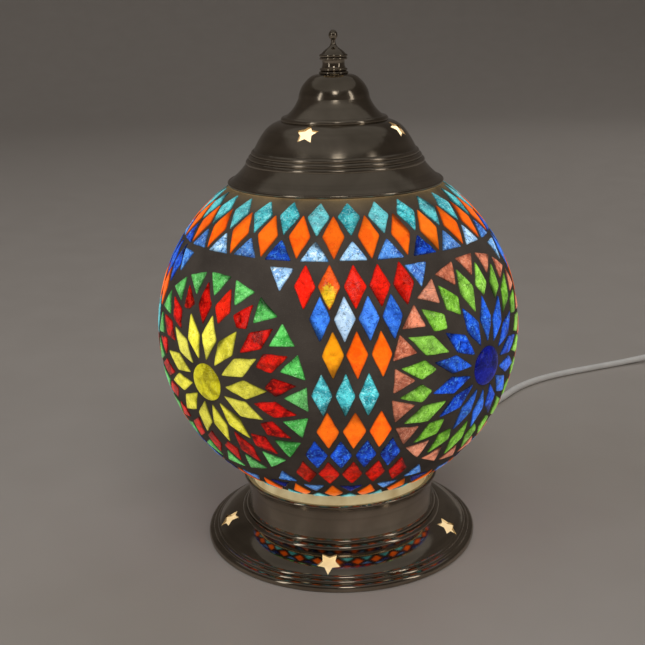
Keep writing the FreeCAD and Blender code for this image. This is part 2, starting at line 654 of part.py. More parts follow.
# ---- cap and finial ----
def cap_shell():
    """Spun lid: rolled rim, flared skirt, three beads, starred shoulder and a bell on top."""
    outer = [((46.6, 164.9), (45.5, 165.8)), ((41.9, 168.8), (38.4, 173.0))]
    beads = 3
    low, high = Vector(38.4, 0, 173.0), Vector(34.8, 0, 178.6)
    step = (high - low) * (1.0 / beads)
    swell = Vector(step.z, 0, -step.x).normalize() * 0.6
    for k in range(beads):
        middle, end = low + step * (k + 0.5) + swell, low + step * (k + 1)
        outer.append(((middle.x, middle.z), (end.x, end.z)))
    outer += [((33.0, 182.1), (30.6, 185.7)), ((27.5, 188.7), (22.9, 190.5)),
              ((22.7, 191.8), (21.0, 192.3)), ((17.2, 196.1), (15.2, 199.8)),
              ((13.7, 204.4), (11.2, 207.4)), ((9.4, 208.8), (7.0, CAP_TOP_Z)), (2.1, CAP_TOP_Z)]
    inner = [(2.1, 208.6), (7.0, 208.5), ((8.9, 207.9), (10.5, 206.7)), ((12.9, 203.9), (14.3, 199.5)),
             ((16.5, 195.5), (20.4, 191.4)), (22.5, 189.6), ((27.0, 187.8), (29.8, 185.1)),
             ((32.1, 181.6), (33.8, 178.4)), (37.5, 172.6), ((41.2, 168.2), (44.6, 165.0)), (44.9, 164.5)]
    body = spun((45.7, 164.2), *(outer + inner))
    for k in range(CAP_STARS):
        bearing = math.radians(CAP_STAR_AZIMUTH + 360.0 / CAP_STARS * k)
        outward = Vector(math.sin(bearing), -math.cos(bearing), 0)
        normal = outward * 0.66 + UP * 0.75
        body = body.cut(star(5.0, 2.7, 4, outward * 28.3 + UP * 187.3, normal, UP))
    return body


def finial():
    """Turned vase on the cap's stud, with a ringed foot, a thin neck and a ball."""
    bore = STUD_RADIUS + 0.06
    return spun((bore, 209.6), (5.9, 209.6), ((6.3, 210.1), (5.9, 210.6)), (5.3, 210.9),
                ((5.9, 211.4), (5.2, 212.0)), ((4.7, 213.8), (5.0, 215.4)), ((5.9, 215.8), (5.4, 216.4)),
                ((6.0, 217.1), (5.2, 217.8)), ((4.0, 219.0), (2.5, 220.1)), ((1.3, 221.4), (0.95, 223.4)),
                ((1.9, 225.4), (0.7, 227.3)), (0.3, 227.5), (0, 227.5), (0, 217.2), (bore, 216.2))


def finial_stud():
    outline = [(0, 203.4), (STUD_RADIUS - 0.3, 203.4)]
    for k in range(12):
        low = 204.0 + k
        outline += [(STUD_RADIUS, low), (STUD_RADIUS, low + 0.5), (STUD_RADIUS - 0.25, low + 0.75)]
    outline += [(STUD_RADIUS - 0.3, 216.0), (0, 216.0)]
    return spun(*outline)


def stud_nut():
    nut = hexagon(7.0, 3.2, Vector(0, 0, 204.6))
    return nut.cut(ring(0, STUD_RADIUS + 0.05, 204, 209))


# ---- cord, switch and plug ----
def along_switch(distance, side=0.0, height=0.0):
    return SWITCH_START + Vector(distance, side, height)


def free_cord():
    """From inside the boot to the switch: straight out, then loose bends along the table."""
    on_table = CORD_RADIUS + 0.02
    points = [cord_place(CORD_START), Vector(35.8, 80.4, 2.4)]
    for x, y in [(51.5, 101.5), (70.0, 121.5), (88.0, 140.5), (102.5, 159.5), (114.5, 177.0),
                 (130.5, 191.5), (150.0, 202.8), (171.0, 212.4), (192.5, 222.0)]:
        points.append(Vector(x, y, on_table))
    points += [Vector(213.0, 229.2, 3.4), SWITCH_START]
    return tube_along(points, CORD_RADIUS)


def switch_to_coil():
    reach = COIL_MID_RADIUS + COIL_WIDTH / 2 - CORD_RADIUS - 0.2
    end = COIL_CENTRE + Vector(reach, -1.0, CORD_RADIUS + 0.02)
    points = [along_switch(SWITCH_LENGTH), Vector(309.5, 231.0, 3.0), Vector(322.5, 223.5, 2.02),
              Vector(329.6, 209.5, 2.02), Vector(329.2, 196.0, 2.02), Vector(325.6, 183.0, 2.02), end]
    return tube_along(points, CORD_RADIUS)


def coil_to_plug():
    start = COIL_CENTRE + Vector(COIL_MID_RADIUS + 5.8, -4.2, COIL_HEIGHT - CORD_RADIUS - 0.2)
    points = [start, Vector(319.6, 155.0, 5.9), Vector(316.5, 144.5, 6.4), PLUG_ENTRY + Vector(0.6, 9, 0),
              PLUG_ENTRY]
    return tube_along(points, CORD_RADIUS)


def cord_coil():
    """Outer shape of the turns that hold the cord's spare length."""
    inner, outer = COIL_MID_RADIUS - COIL_WIDTH / 2, COIL_MID_RADIUS + COIL_WIDTH / 2
    soft = 2.0
    top = COIL_HEIGHT
    arc = soft * (1 - math.sqrt(0.5))
    body = spun((inner + soft, 0), (outer - soft, 0), ((outer - arc, arc), (outer, soft)),
                (outer, top - soft), ((outer - arc, top - arc), (outer - soft, top)), (inner + soft, top),
                ((inner + arc, top - arc), (inner, top - soft)), (inner, soft),
                ((inner + arc, arc), (inner + soft, 0)))
    return body.translated(COIL_CENTRE)


def cord_tie():
    """Twist tie round the coil's section, on its left side."""
    half = COIL_WIDTH / 2
    wall = 0.7
    low = COIL_CENTRE + Vector(-COIL_MID_RADIUS - half - wall - 0.4, -2.2, 0.02)
    band = Part.makeBox(COIL_WIDTH + 2 * wall + 0.8, 4.4, COIL_HEIGHT + wall + 0.1, low)
    inner = Part.makeBox(COIL_WIDTH + 0.8, 4.4, COIL_HEIGHT + 0.1, low + Vector(wall, 0, 0))
    return band.cut(inner)


def switch_halves():
    """Clam-shell housing split at the cord's height, with a window for the rocker."""
    floor_z, split = 0.02, SWITCH_START.z
    length, half = SWITCH_LENGTH, SWITCH_WIDTH / 2
    origin = Vector(SWITCH_START.x, SWITCH_START.y, 0)
    wire = wire_of((0, -6), [((8, -11.6), (20, -half)), (length - 20, -half),
                             ((length - 8, -11.6), (length, -6)), (length, 6),
                             ((length - 8, 11.6), (length - 20, half)), (20, half),
                             ((8, 11.6), (0, 6))], lambda x, y: Vector(x, y, 0))
    block = Part.Face(wire).extrude(Vector(0, 0, SWITCH_HEIGHT - floor_z)).translated(Vector(0, 0, floor_z))
    hollow = box((7, -half + 1.8, 1.8), (length - 7, half - 1.8, SWITCH_HEIGHT - 1.8))
    hollow = hollow.common(Part.Face(wire).makeOffset2D(-1.8).extrude(Vector(0, 0, 20)))
    top_edges = [edge for edge in block.Edges if edge.CenterOfMass.z > SWITCH_HEIGHT - 0.1]
    block = block.makeChamfer(1.2, top_edges)
    channel = Part.makeCylinder(CORD_RADIUS + 0.05, length + 2, Vector(-1, 0, split), Vector(1, 0, 0))
    shell = block.cut(hollow).cut(channel)
    posts = []
    for x, y in SWITCH_POSTS:
        posts.append(Part.makeCylinder(2.4, SWITCH_HEIGHT - 1.6, Vector(x, y, 1.0)))
    shell = shell.fuse(posts)
    shell = shell.cut([Part.makeCylinder(1.1, 14, Vector(x, y, -1)) for x, y in SWITCH_POSTS])
    shell = shell.cut([Part.makeCylinder(2.1, 2.5, Vector(x, y, 0)) for x, y in SWITCH_POSTS])
    lower = shell.common(box((-1, -20, -1), (length + 1, 20, split - 0.05)))
    upper = shell.common(box((-1, -20, split + 0.05), (length + 1, 20, 30)))
    middle = length / 2
    upper = upper.cut(box((middle - 8.3, -4.9, 10), (middle + 8.3, 4.9, 30)))
    for side in (-1, 1):
        near, far = sorted((side * 5.0, side * 6.8))
        lug = box((middle - 2.6, near, 9.6), (middle + 2.6, far, 15.6))
        pivot = Part.makeCylinder(ROCKER_PIN + 0.06, 20, Vector(middle, -10, ROCKER_Z), Vector(0, 1, 0))
        upper = upper.fuse(lug.cut(pivot))
    return lower.translated(origin), upper.translated(origin)


def switch_rocker():
    """Rocker with its trunnions, lying in the on position."""
    wire = wire_of((-6.8, 0.6), [((-3.4, -1.4), (0, -2.0)), ((3.4, -1.4), (6.8, 0.6)), (7.0, 5.6),
                                 ((0, 4.9), (-7.0, 5.6))], lambda x, z: Vector(x, -4.5, z))
    body = Part.Face(wire).extrude(Vector(0, 9.0, 0))
    body = body.fuse(Part.makeCylinder(ROCKER_PIN, 13.2, Vector(0, -6.6, 0), Vector(0, 1, 0)))
    body = turned(body, ROCKER_TILT, AXIS_FOOT, Vector(0, 1, 0))
    middle = along_switch(SWITCH_LENGTH / 2)
    return body.translated(Vector(middle.x, middle.y, ROCKER_Z))


def switch_screws():
    screws = []
    for x, y in SWITCH_POSTS:
        screw = spun((0, 0.9), (1.9, 0.9), (1.9, 2.2), (1.05, 2.6), (1.05, 12.0), (0, 12.6))
        screws.append(screw.translated(Vector(SWITCH_START.x + x, SWITCH_START.y + y, 0)))
    return screws


def switch_terminals():
    """Two brass terminal blocks under the rocker's ends."""
    blocks = []
    for side in (-1, 1):
        block = box((-3.0, -2.5, 2.0), (3.0, 2.5, 6.4))
        block = block.cut(Part.makeCylinder(1.0, 8, Vector(-4, 0, 4.4), Vector(1, 0, 0)))
        place = along_switch(SWITCH_LENGTH / 2 + side * 9)
        blocks.append(block.translated(Vector(place.x, place.y, 0)))
    return blocks


def plug_body():
    """Flat two-pin plug: a waisted grip, a front block and a ribbed sleeve for the cord."""
    width, depth = PLUG_HALF_WIDTH, PLUG_ENTRY.z - 0.02
    front = PLUG_ENTRY.y - PLUG_LENGTH
    wire = wire_of((-4.2, 0), [(4.2, 0), (4.6, -14), ((7.0, -18), (12.0, -26)), (width, -PLUG_LENGTH + 10),
                               (width, -PLUG_LENGTH), (-width, -PLUG_LENGTH), (-width, -PLUG_LENGTH + 10),
                               (-12.0, -26), ((-7.0, -18), (-4.6, -14))], lambda x, y: Vector(x, y, 0))
    body = Part.Face(wire).extrude(Vector(0, 0, 2 * depth)).translated(Vector(0, 0, -depth))
    slim = wire_of((0, 4.0), [(-14, 4.3), ((-20, 5.0), (-26, depth)), (-PLUG_LENGTH, depth),
                              (-PLUG_LENGTH, -depth), (-26, -depth), ((-20, -5.0), (-14, -4.3)),
                              (0, -4.0)], lambda y, z: Vector(-20, y, z))
    body = body.common(Part.Face(slim).extrude(Vector(40, 0, 0)))
    for k in range(4):
        groove = box((-8, -3.2 - 3.0 * k, -8), (8, -2.2 - 3.0 * k, 8))
        core = box((-3.4, -14, -3.4), (3.4, 0, 3.4))
        body = body.cut(groove.cut(core))
    sharp = []
    for edge in body.Edges:
        on_front = abs(edge.CenterOfMass.y + PLUG_LENGTH) < 0.01
        on_side = edge.Length > 9.9 and abs(abs(edge.CenterOfMass.x) - width) < 0.01
        if on_front or on_side:
            sharp.append(edge)
    body = body.makeChamfer(1.5, sharp)
    body = body.translated(PLUG_ENTRY)
    for side in (-1, 1):
        root = Vector(PLUG_ENTRY.x + side * PIN_SPACING / 2, front + PIN_ROOT, PLUG_ENTRY.z)
        body = body.cut(Part.makeCylinder(PIN_RADIUS + 0.02, 8, root, Vector(0, -1, 0)))
    return body


def plug_pins():
    root_y = PLUG_ENTRY.y - PLUG_LENGTH + PIN_ROOT
    length = PIN_ROOT + PIN_REACH
    pins = []
    for side in (-1, 1):
        pin = spun((0, 0), (PIN_RADIUS, 0), (PIN_RADIUS, length - 1.6),
                   ((1.7, length - 0.6), (0.5, length)), (0, length))
        root = Vector(PLUG_ENTRY.x + side * PIN_SPACING / 2, root_y, PLUG_ENTRY.z)
        pin.Placement = FreeCAD.Placement(root, FreeCAD.Rotation(UP, Vector(0, -1, 0)))
        pins.append(pin)
    return pins


os.makedirs("parts", exist_ok=True)
lay_crown()
lay_foot()
lay_columns()
lay_medallions()
for colour, tiles in mosaic.items():
    save("tiles_" + colour, *tiles)
for colour, stones in cabochons.items():
    save(colour, *stones)
save("grout", grout())
save("globe_glass", globe_glass())

save("base_shell", base_shell())
save("bottom_plate", bottom_plate())
save("felt_pad", ring(0, PLATE_RADIUS - 0.4, 0, PLATE_LOW))
save("support_ring", support_ring())
save("seat_gasket", ring(37.0, 40.9, RING_Z + 2.9, NECK_FOOT_Z - 0.02).fuse(
    ring(39.9, 40.9, RING_Z + 1.22, NECK_FOOT_Z - 0.02)))
save("bonding_bead", ring(NECK_RADIUS + 0.02, 41.9, NECK_FOOT_Z + 0.4, 28.6))
save("bridge", bridge())
save("bridge_screws", *bridge_screws())
save("bridge_nuts", *bridge_nuts())
save("threaded_tube", threaded_tube())
save("tube_nuts", *tube_nuts())
save("holder_cup", holder_cup())
save("holder_skirt", holder_skirt())
save("holder_insulator", holder_insulator())
save("holder_liner", holder_liner())
save("holder_contact", holder_contact())
save("holder_terminals", *terminal_screws(), *terminal_sleeves())
save("wire_live", inner_wire(1))
save("wire_neutral", inner_wire(-1))
save("cord_inner", cord_inner())
save("cord_clamp", cord_clamp())
save("clamp_screws", *clamp_screws())
save("strain_relief", strain_relief())

save("bulb_glass", bulb_glass())
save("bulb_screw_cap", bulb_screw_cap())
save("bulb_insulator", bulb_insulator())
save("bulb_tip", bulb_tip())
save("bulb_stem", bulb_stem())
save("bulb_filament", bulb_filament())

save("cap_shell", cap_shell())
save("finial_stud", finial_stud())
save("stud_nut", stud_nut())
save("finial", finial())

save("cord_lead", free_cord())
save("cord_middle", switch_to_coil())
save("cord_tail", coil_to_plug())
save("cord_coil", cord_coil())
save("cord_tie", cord_tie())
switch_base, switch_cover = switch_halves()
save("switch_base", switch_base)
save("switch_cover", switch_cover)
save("switch_rocker", switch_rocker())
save("switch_screws", *switch_screws())
save("switch_terminals", *switch_terminals())
save("plug_body", plug_body())
save("plug_pins", *plug_pins())
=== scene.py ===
import json
import math
import random
import bpy
import numpy as np
from mathutils import Matrix, Vector


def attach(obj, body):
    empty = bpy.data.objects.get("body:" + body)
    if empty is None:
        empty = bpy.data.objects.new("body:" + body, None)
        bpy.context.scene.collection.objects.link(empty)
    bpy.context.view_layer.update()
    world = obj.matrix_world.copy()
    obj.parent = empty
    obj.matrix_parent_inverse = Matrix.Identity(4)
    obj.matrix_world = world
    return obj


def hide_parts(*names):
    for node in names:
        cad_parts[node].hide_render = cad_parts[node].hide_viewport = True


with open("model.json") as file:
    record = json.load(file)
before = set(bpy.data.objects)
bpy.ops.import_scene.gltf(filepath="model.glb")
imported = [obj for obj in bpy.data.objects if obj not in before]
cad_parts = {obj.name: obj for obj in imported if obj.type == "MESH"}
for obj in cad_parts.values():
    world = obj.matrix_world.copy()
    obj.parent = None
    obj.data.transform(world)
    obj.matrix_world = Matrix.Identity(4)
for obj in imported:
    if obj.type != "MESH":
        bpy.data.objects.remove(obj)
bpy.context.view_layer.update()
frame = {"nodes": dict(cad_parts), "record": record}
slot_of = {part["node"]: part["material_slot"] for part in frame["record"]["subparts"]}
MM = 0.001

# The globe's profile is one arc turned about Z, its centre a little off the axis.
ARC_OFFSET = 3.6 * MM
ARC_RADIUS = 76.4 * MM
GLOBE_Z = 100.2 * MM
GROUT_TILTS = (-57.6, 58.6)
GROUT_FACE_DEPTH = 0.32 * MM
GROUT_BACK_DEPTH = 2.3 * MM


# ---- camera ----
CAMERA_PLACE = (0, -0.44595, 0.23364)
CAMERA_SENSOR_MM, CAMERA_LENS_MM = 36.0, 57.54
CAMERA_TILT, CAMERA_ROLL, CAMERA_PAN = 0.2904, -0.0211, -0.0155       # radians


def make_camera():
    """At the height and tilt that the lamp was seen from, level to a degree or so."""
    camera = bpy.data.objects.new("camera", bpy.data.cameras.new("camera"))
    bpy.context.scene.collection.objects.link(camera)
    camera.data.sensor_width = CAMERA_SENSOR_MM
    camera.data.lens = CAMERA_LENS_MM
    camera.data.clip_start = 0.01
    tilt, roll, pan = CAMERA_TILT, CAMERA_ROLL, CAMERA_PAN
    ahead = Vector((math.sin(pan) * math.cos(tilt), math.cos(pan) * math.cos(tilt), -math.sin(tilt)))
    right = Vector((math.cos(pan), -math.sin(pan), 0))
    up = right.cross(ahead)
    side = right * math.cos(roll) + up * math.sin(roll)
    top = up * math.cos(roll) - right * math.sin(roll)
    turned = Matrix((side, top, -ahead)).transposed().to_4x4()
    camera.matrix_world = Matrix.Translation(CAMERA_PLACE) @ turned
    bpy.context.scene.camera = camera


# ---- cords ----
CORD_RADIUS = 2.0 * MM
COIL_CENTRE = Vector((0.290, 0.172, 0))
COIL_MID_RADIUS = 24.0 * MM
TURN_PITCH = 4.05 * MM
LOWER_TURNS, LOWER_HEIGHT = 5, 2.05 * MM
UPPER_TURNS, UPPER_HEIGHT = 4, 5.55 * MM
POINTS_PER_TURN = 14
CROSSOVER_START = 0.72        # share of a turn after which the cord moves over to the next one
COIL_START_ANGLE = -0.25

ON_TABLE = 0.00202
LEAD_ROUTE = [
    (0.0244, 0.0548, 0.0046), (0.0358, 0.0804, 0.0024), (0.0515, 0.1015, ON_TABLE),
    (0.0700, 0.1215, ON_TABLE), (0.0880, 0.1405, ON_TABLE), (0.1025, 0.1595, ON_TABLE),
    (0.1145, 0.1770, ON_TABLE), (0.1305, 0.1915, ON_TABLE), (0.1500, 0.2028, ON_TABLE),
    (0.1710, 0.2124, ON_TABLE), (0.1925, 0.2220, ON_TABLE), (0.2130, 0.2292, 0.0034),
    (0.2320, 0.2320, 0.0068)]
SWITCH_TO_COIL = [
    (0.2940, 0.2320, 0.0068), (0.3095, 0.2310, 0.0030), (0.3225, 0.2235, ON_TABLE),
    (0.3296, 0.2095, ON_TABLE), (0.3292, 0.1960, ON_TABLE), (0.3256, 0.1830, ON_TABLE)]
COIL_TO_PLUG = [
    (0.3198, 0.1678, 0.0056), (0.3196, 0.1550, 0.0059), (0.3165, 0.1445, 0.0064),
    (0.3126, 0.1350, 0.0067), (0.3120, 0.1260, 0.0067)]


def coil_turns():
    """Five turns inwards on the table, then four outwards in the grooves between them."""
    points = []
    lower = [COIL_MID_RADIUS + TURN_PITCH * ((LOWER_TURNS - 1) / 2 - k) for k in range(LOWER_TURNS)]
    upper = [COIL_MID_RADIUS + TURN_PITCH * (k - (UPPER_TURNS - 1) / 2) for k in range(UPPER_TURNS)]
    radii = lower + upper
    heights = [LOWER_HEIGHT] * LOWER_TURNS + [UPPER_HEIGHT] * UPPER_TURNS
    for turn in range(len(radii)):
        after = min(turn + 1, len(radii) - 1)
        for step in range(POINTS_PER_TURN):
            share = step / POINTS_PER_TURN
            blend = max(0.0, (share - CROSSOVER_START) / (1 - CROSSOVER_START))
            radius = radii[turn] + (radii[after] - radii[turn]) * blend
            height = heights[turn] + (heights[after] - heights[turn]) * blend
            angle = -2 * math.pi * share + COIL_START_ANGLE
            offset = Vector((radius * math.cos(angle), radius * math.sin(angle), height))
            points.append(COIL_CENTRE + offset)
    return points


def cord_curve(name, points):
    """A round cord along the points; its thickness is in the radius of each, which keeps its box true."""
    curve = bpy.data.curves.new(name, "CURVE")
    curve.dimensions = "3D"
    spline = curve.splines.new("NURBS")
    spline.points.add(len(points) - 1)
    for target, point in zip(spline.points, points):
        target.co = (*point, 1.0)
        target.radius = CORD_RADIUS
    spline.order_u = 3
    spline.use_endpoint_u = True
    spline.resolution_u = 8
    curve.bevel_depth = 1.0
    curve.bevel_resolution = 5
    curve.use_fill_caps = True
    piece = bpy.data.objects.new(name, curve)
    bpy.context.scene.collection.objects.link(piece)
    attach(piece, "root")
    return piece


make_camera()
lead = cord_curve("lead_to_switch", LEAD_ROUTE)
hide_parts("cord_lead")
tail = cord_curve("lead_to_plug", SWITCH_TO_COIL + coil_turns() + COIL_TO_PLUG)
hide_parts("cord_middle", "cord_coil", "cord_tail")


# ---- materials ----
def add_node(tree, kind, **settings):
    """Adds a shader node; a setting goes to the input of that name, or else to the property."""
    node = tree.nodes.new(kind)
    for key, value in settings.items():
        if key in node.inputs:
            node.inputs[key].default_value = value
        else:
            setattr(node, key, value)
    return node


def new_material(name):
    material = bpy.data.materials.new(name)
    material.use_nodes = True
    tree = material.node_tree
    return material, tree, tree.nodes["Principled BSDF"]


def noise(tree, scale, detail=3.0, distortion=0.0):
    """Noise over the object's own coordinates; scale is in waves per metre."""
    place = add_node(tree, "ShaderNodeTexCoord")
    texture = add_node(tree, "ShaderNodeTexNoise", Scale=scale, Detail=detail, Distortion=distortion)
    tree.links.new(place.outputs["Object"], texture.inputs["Vector"])
    return texture.outputs["Fac"]


def spread(tree, value, low, high, start=0.3, end=0.7):
    """Rescales a noise value so that start..end becomes low..high."""
    remap = add_node(tree, "ShaderNodeMapRange")
    for key, number in zip(("From Min", "From Max", "To Min", "To Max"), (start, end, low, high)):
        remap.inputs[key].default_value = number
    tree.links.new(value, remap.inputs["Value"])
    return remap.outputs["Result"]


def blend_colours(tree, share, first, second, mode="MIX"):
    """Mixes or multiplies two colours, each a tuple or an output of another node."""
    mix = add_node(tree, "ShaderNodeMix", data_type="RGBA", blend_type=mode)
    for socket, value in ((0, share), (6, first), (7, second)):
        if isinstance(value, (int, float)):
            mix.inputs[socket].default_value = value
        elif isinstance(value, (tuple, list)):
            mix.inputs[socket].default_value = (*value[:3], 1.0)
        else:
            tree.links.new(value, mix.inputs[socket])
    return mix.outputs[2]


def bump(tree, shader, height, strength, distance):
    node = add_node(tree, "ShaderNodeBump", Strength=strength, Distance=distance)
    tree.links.new(height, node.inputs["Height"])
    tree.links.new(node.outputs["Normal"], shader.inputs["Normal"])


def surface(name, dark, light, roughness, metallic=0.0, grain=400.0, depth=0.03, coat=0.0):
    """A plain real-world surface: slow drift of colour and roughness, and a fine relief depth mm deep."""
    material, tree, shader = new_material(name)
    fine = noise(tree, grain, 4.0, 0.2)
    broad = noise(tree, grain / 12.0, 2.0)
    tree.links.new(blend_colours(tree, spread(tree, broad, 0, 1), dark, light), shader.inputs["Base Color"])
    tree.links.new(spread(tree, broad, *roughness), shader.inputs["Roughness"])
    shader.inputs["Metallic"].default_value = metallic
    shader.inputs["Coat Weight"].default_value = coat
    bump(tree, shader, fine, 0.5, depth * MM)
    return material


def axis_parts(tree):
    """Position over the axis as a flat vector, its length, and the height."""
    place = add_node(tree, "ShaderNodeTexCoord")
    split = add_node(tree, "ShaderNodeSeparateXYZ")
    flat = add_node(tree, "ShaderNodeCombineXYZ")
    reach = add_node(tree, "ShaderNodeVectorMath", operation="LENGTH")
    tree.links.new(place.outputs["Object"], split.inputs["Vector"])
    tree.links.new(split.outputs["X"], flat.inputs["X"])
    tree.links.new(split.outputs["Y"], flat.inputs["Y"])
    tree.links.new(flat.outputs["Vector"], reach.inputs[0])
    return flat.outputs["Vector"], reach.outputs["Value"], split.outputs["Z"]


def inner_faces(tree, flat):
    """1 on faces that look towards the axis and not upwards, which are the hollow side of a spun part."""
    geometry = add_node(tree, "ShaderNodeNewGeometry")
    outward = add_node(tree, "ShaderNodeVectorMath", operation="NORMALIZE")
    facing = add_node(tree, "ShaderNodeVectorMath", operation="DOT_PRODUCT")
    normal = add_node(tree, "ShaderNodeSeparateXYZ")
    both = add_node(tree, "ShaderNodeMath", operation="MULTIPLY")
    tree.links.new(flat, outward.inputs[0])
    tree.links.new(outward.outputs["Vector"], facing.inputs[0])
    tree.links.new(geometry.outputs["True Normal"], facing.inputs[1])
    tree.links.new(geometry.outputs["True Normal"], normal.inputs["Vector"])
    tree.links.new(spread(tree, facing.outputs["Value"], 1.0, 0.0, -0.14, -0.08), both.inputs[0])
    tree.links.new(spread(tree, normal.outputs["Z"], 1.0, 0.0, 0.04, 0.10), both.inputs[1])
    return both.outputs["Value"]


NICKEL_DARK, NICKEL_LIGHT, NICKEL_GROOVE = (0.235, 0.20, 0.155), (0.425, 0.37, 0.298), (0.15, 0.13, 0.105)


def spun_metal(name, roughness, waviness, glow):
    """Nickel plate gone brown: turned marks round the axis, smudges, dull grooves, a lit hollow side."""
    material, tree, shader = new_material(name)
    flat, reach, height = axis_parts(tree)
    rings = add_node(tree, "ShaderNodeCombineXYZ")
    tree.links.new(reach, rings.inputs["X"])
    tree.links.new(height, rings.inputs["Y"])
    marks = add_node(tree, "ShaderNodeTexNoise", Scale=1300.0, Detail=3.0)
    bands = add_node(tree, "ShaderNodeTexNoise", Scale=260.0, Detail=2.0)
    tree.links.new(rings.outputs["Vector"], marks.inputs["Vector"])
    tree.links.new(rings.outputs["Vector"], bands.inputs["Vector"])
    smudge = noise(tree, 34.0, 5.0, 0.8)
    grooves = spread(tree, bands.outputs["Fac"], 0.0, 0.35, 0.5, 0.7)
    body = blend_colours(tree, spread(tree, smudge, 0, 1), NICKEL_DARK, NICKEL_LIGHT)
    body = blend_colours(tree, grooves, body, NICKEL_GROOVE)
    tree.links.new(body, shader.inputs["Base Color"])
    tree.links.new(spread(tree, smudge, *roughness), shader.inputs["Roughness"])
    shader.inputs["Metallic"].default_value = 1.0
    relief = add_node(tree, "ShaderNodeMath", operation="MULTIPLY_ADD")
    tree.links.new(noise(tree, 55.0, 2.0, 0.4), relief.inputs[0])
    relief.inputs[1].default_value = waviness
    tree.links.new(marks.outputs["Fac"], relief.inputs[2])
    bump(tree, shader, relief.outputs["Value"], 0.10, 0.02 * MM)
    lit = blend_colours(tree, inner_faces(tree, flat), (0.0, 0.0, 0.0), glow)
    tree.links.new(lit, shader.inputs["Emission Color"])
    shader.inputs["Emission Strength"].default_value = 1.0
    return material


def lit_glass(name, dark, light, strength, scale=300.0):
    """Frosted glass with the bulb's light in it."""
    material, tree, shader = new_material(name)
    cloud = noise(tree, scale, 4.0, 0.4)
    colour = blend_colours(tree, spread(tree, cloud, 0, 1), dark, light)
    tree.links.new(colour, shader.inputs["Emission Color"])
    shader.inputs["Emission Strength"].default_value = strength
    shader.inputs["Base Color"].default_value = (0.55, 0.50, 0.40, 1)
    shader.inputs["Roughness"].default_value = 0.45
    bump(tree, shader, noise(tree, 2500.0, 2.0), 0.3, 0.03 * MM)
    return material


TILE_LIGHT = 1.3
TINT_SHADE = (0.62, 0.66, 0.72)       # how dark a tinted tile's darker patches are


def tile_glass(name, deep, clear, pale, blotch, ripple):
    """Coloured hammered glass lit from behind.
    The mesh attribute tile holds brightness, paleness and a number of each tile's own, and the other
    attribute a colour that some tiles take, with its share; on two tiles in front that colour is painted
    light of the bulb."""
    material, tree, shader = new_material(name)
    own = add_node(tree, "ShaderNodeAttribute", attribute_name="tile")
    tint_and_glow = add_node(tree, "ShaderNodeAttribute", attribute_name="tint_and_glow")
    parts = add_node(tree, "ShaderNodeSeparateColor")
    tree.links.new(own.outputs["Color"], parts.inputs["Color"])
    place = add_node(tree, "ShaderNodeTexCoord")
    shift = add_node(tree, "ShaderNodeVectorMath", operation="ADD")
    tree.links.new(place.outputs["Object"], shift.inputs[0])
    tree.links.new(parts.outputs["Blue"], shift.inputs[1])
    patches = add_node(tree, "ShaderNodeTexNoise", Scale=190.0, Detail=3.0, Distortion=0.8)
    wrinkles = add_node(tree, "ShaderNodeTexNoise", Scale=520.0, Detail=3.0, Distortion=2.4)
    creases = add_node(tree, "ShaderNodeTexNoise", Scale=330.0, Detail=1.0, Distortion=1.8)
    for texture in (patches, wrinkles, creases):
        tree.links.new(shift.outputs["Vector"], texture.inputs["Vector"])
    body = blend_colours(tree, tint_and_glow.outputs["Alpha"], clear, tint_and_glow.outputs["Color"])
    dark = blend_colours(tree, tint_and_glow.outputs["Alpha"], deep,
                         blend_colours(tree, 1.0, body, TINT_SHADE, "MULTIPLY"))
    body = blend_colours(tree, spread(tree, patches.outputs["Fac"], 0, 1, 0.38, 0.58), dark, body)
    flecks = spread(tree, wrinkles.outputs["Fac"], 0.0, blotch, 0.54, 0.72)
    body = blend_colours(tree, flecks, body, pale)
    body = blend_colours(tree, parts.outputs["Green"], body, pale)
    middle = add_node(tree, "ShaderNodeMath", operation="SUBTRACT")
    distance = add_node(tree, "ShaderNodeMath", operation="ABSOLUTE")
    middle.inputs[1].default_value = 0.5
    tree.links.new(creases.outputs["Fac"], middle.inputs[0])
    tree.links.new(middle.outputs["Value"], distance.inputs[0])
    shade = spread(tree, distance.outputs["Value"], 1.0 - 0.95 * blotch, 1.0, 0.0, 0.04)
    body = blend_colours(tree, 1.0, body, shade, "MULTIPLY")
    body = blend_colours(tree, 1.0, body, parts.outputs["Red"], "MULTIPLY")
    tree.links.new(body, shader.inputs["Emission Color"])
    shader.inputs["Emission Strength"].default_value = TILE_LIGHT
    unlit = blend_colours(tree, 1.0, body, (0.10, 0.10, 0.10), "MULTIPLY")
    tree.links.new(unlit, shader.inputs["Base Color"])
    tree.links.new(spread(tree, patches.outputs["Fac"], 0.14, 0.30), shader.inputs["Roughness"])
    shader.inputs["Specular IOR Level"].default_value = 0.3
    shader.inputs["Coat Weight"].default_value = 0.05
    shader.inputs["Coat Roughness"].default_value = 0.08
    bump(tree, shader, wrinkles.outputs["Fac"], ripple, 0.35 * MM)
    return material


CEMENT_DARK, CEMENT_LIGHT, CEMENT_SAND = (0.070, 0.057, 0.048), (0.120, 0.100, 0.085), (0.20, 0.17, 0.14)
MOUTH_GLOW, MOUTH_GLOW_FROM, MOUTH_GLOW_FULL = (0.085, 0.055, 0.016), 0.158, 0.1635


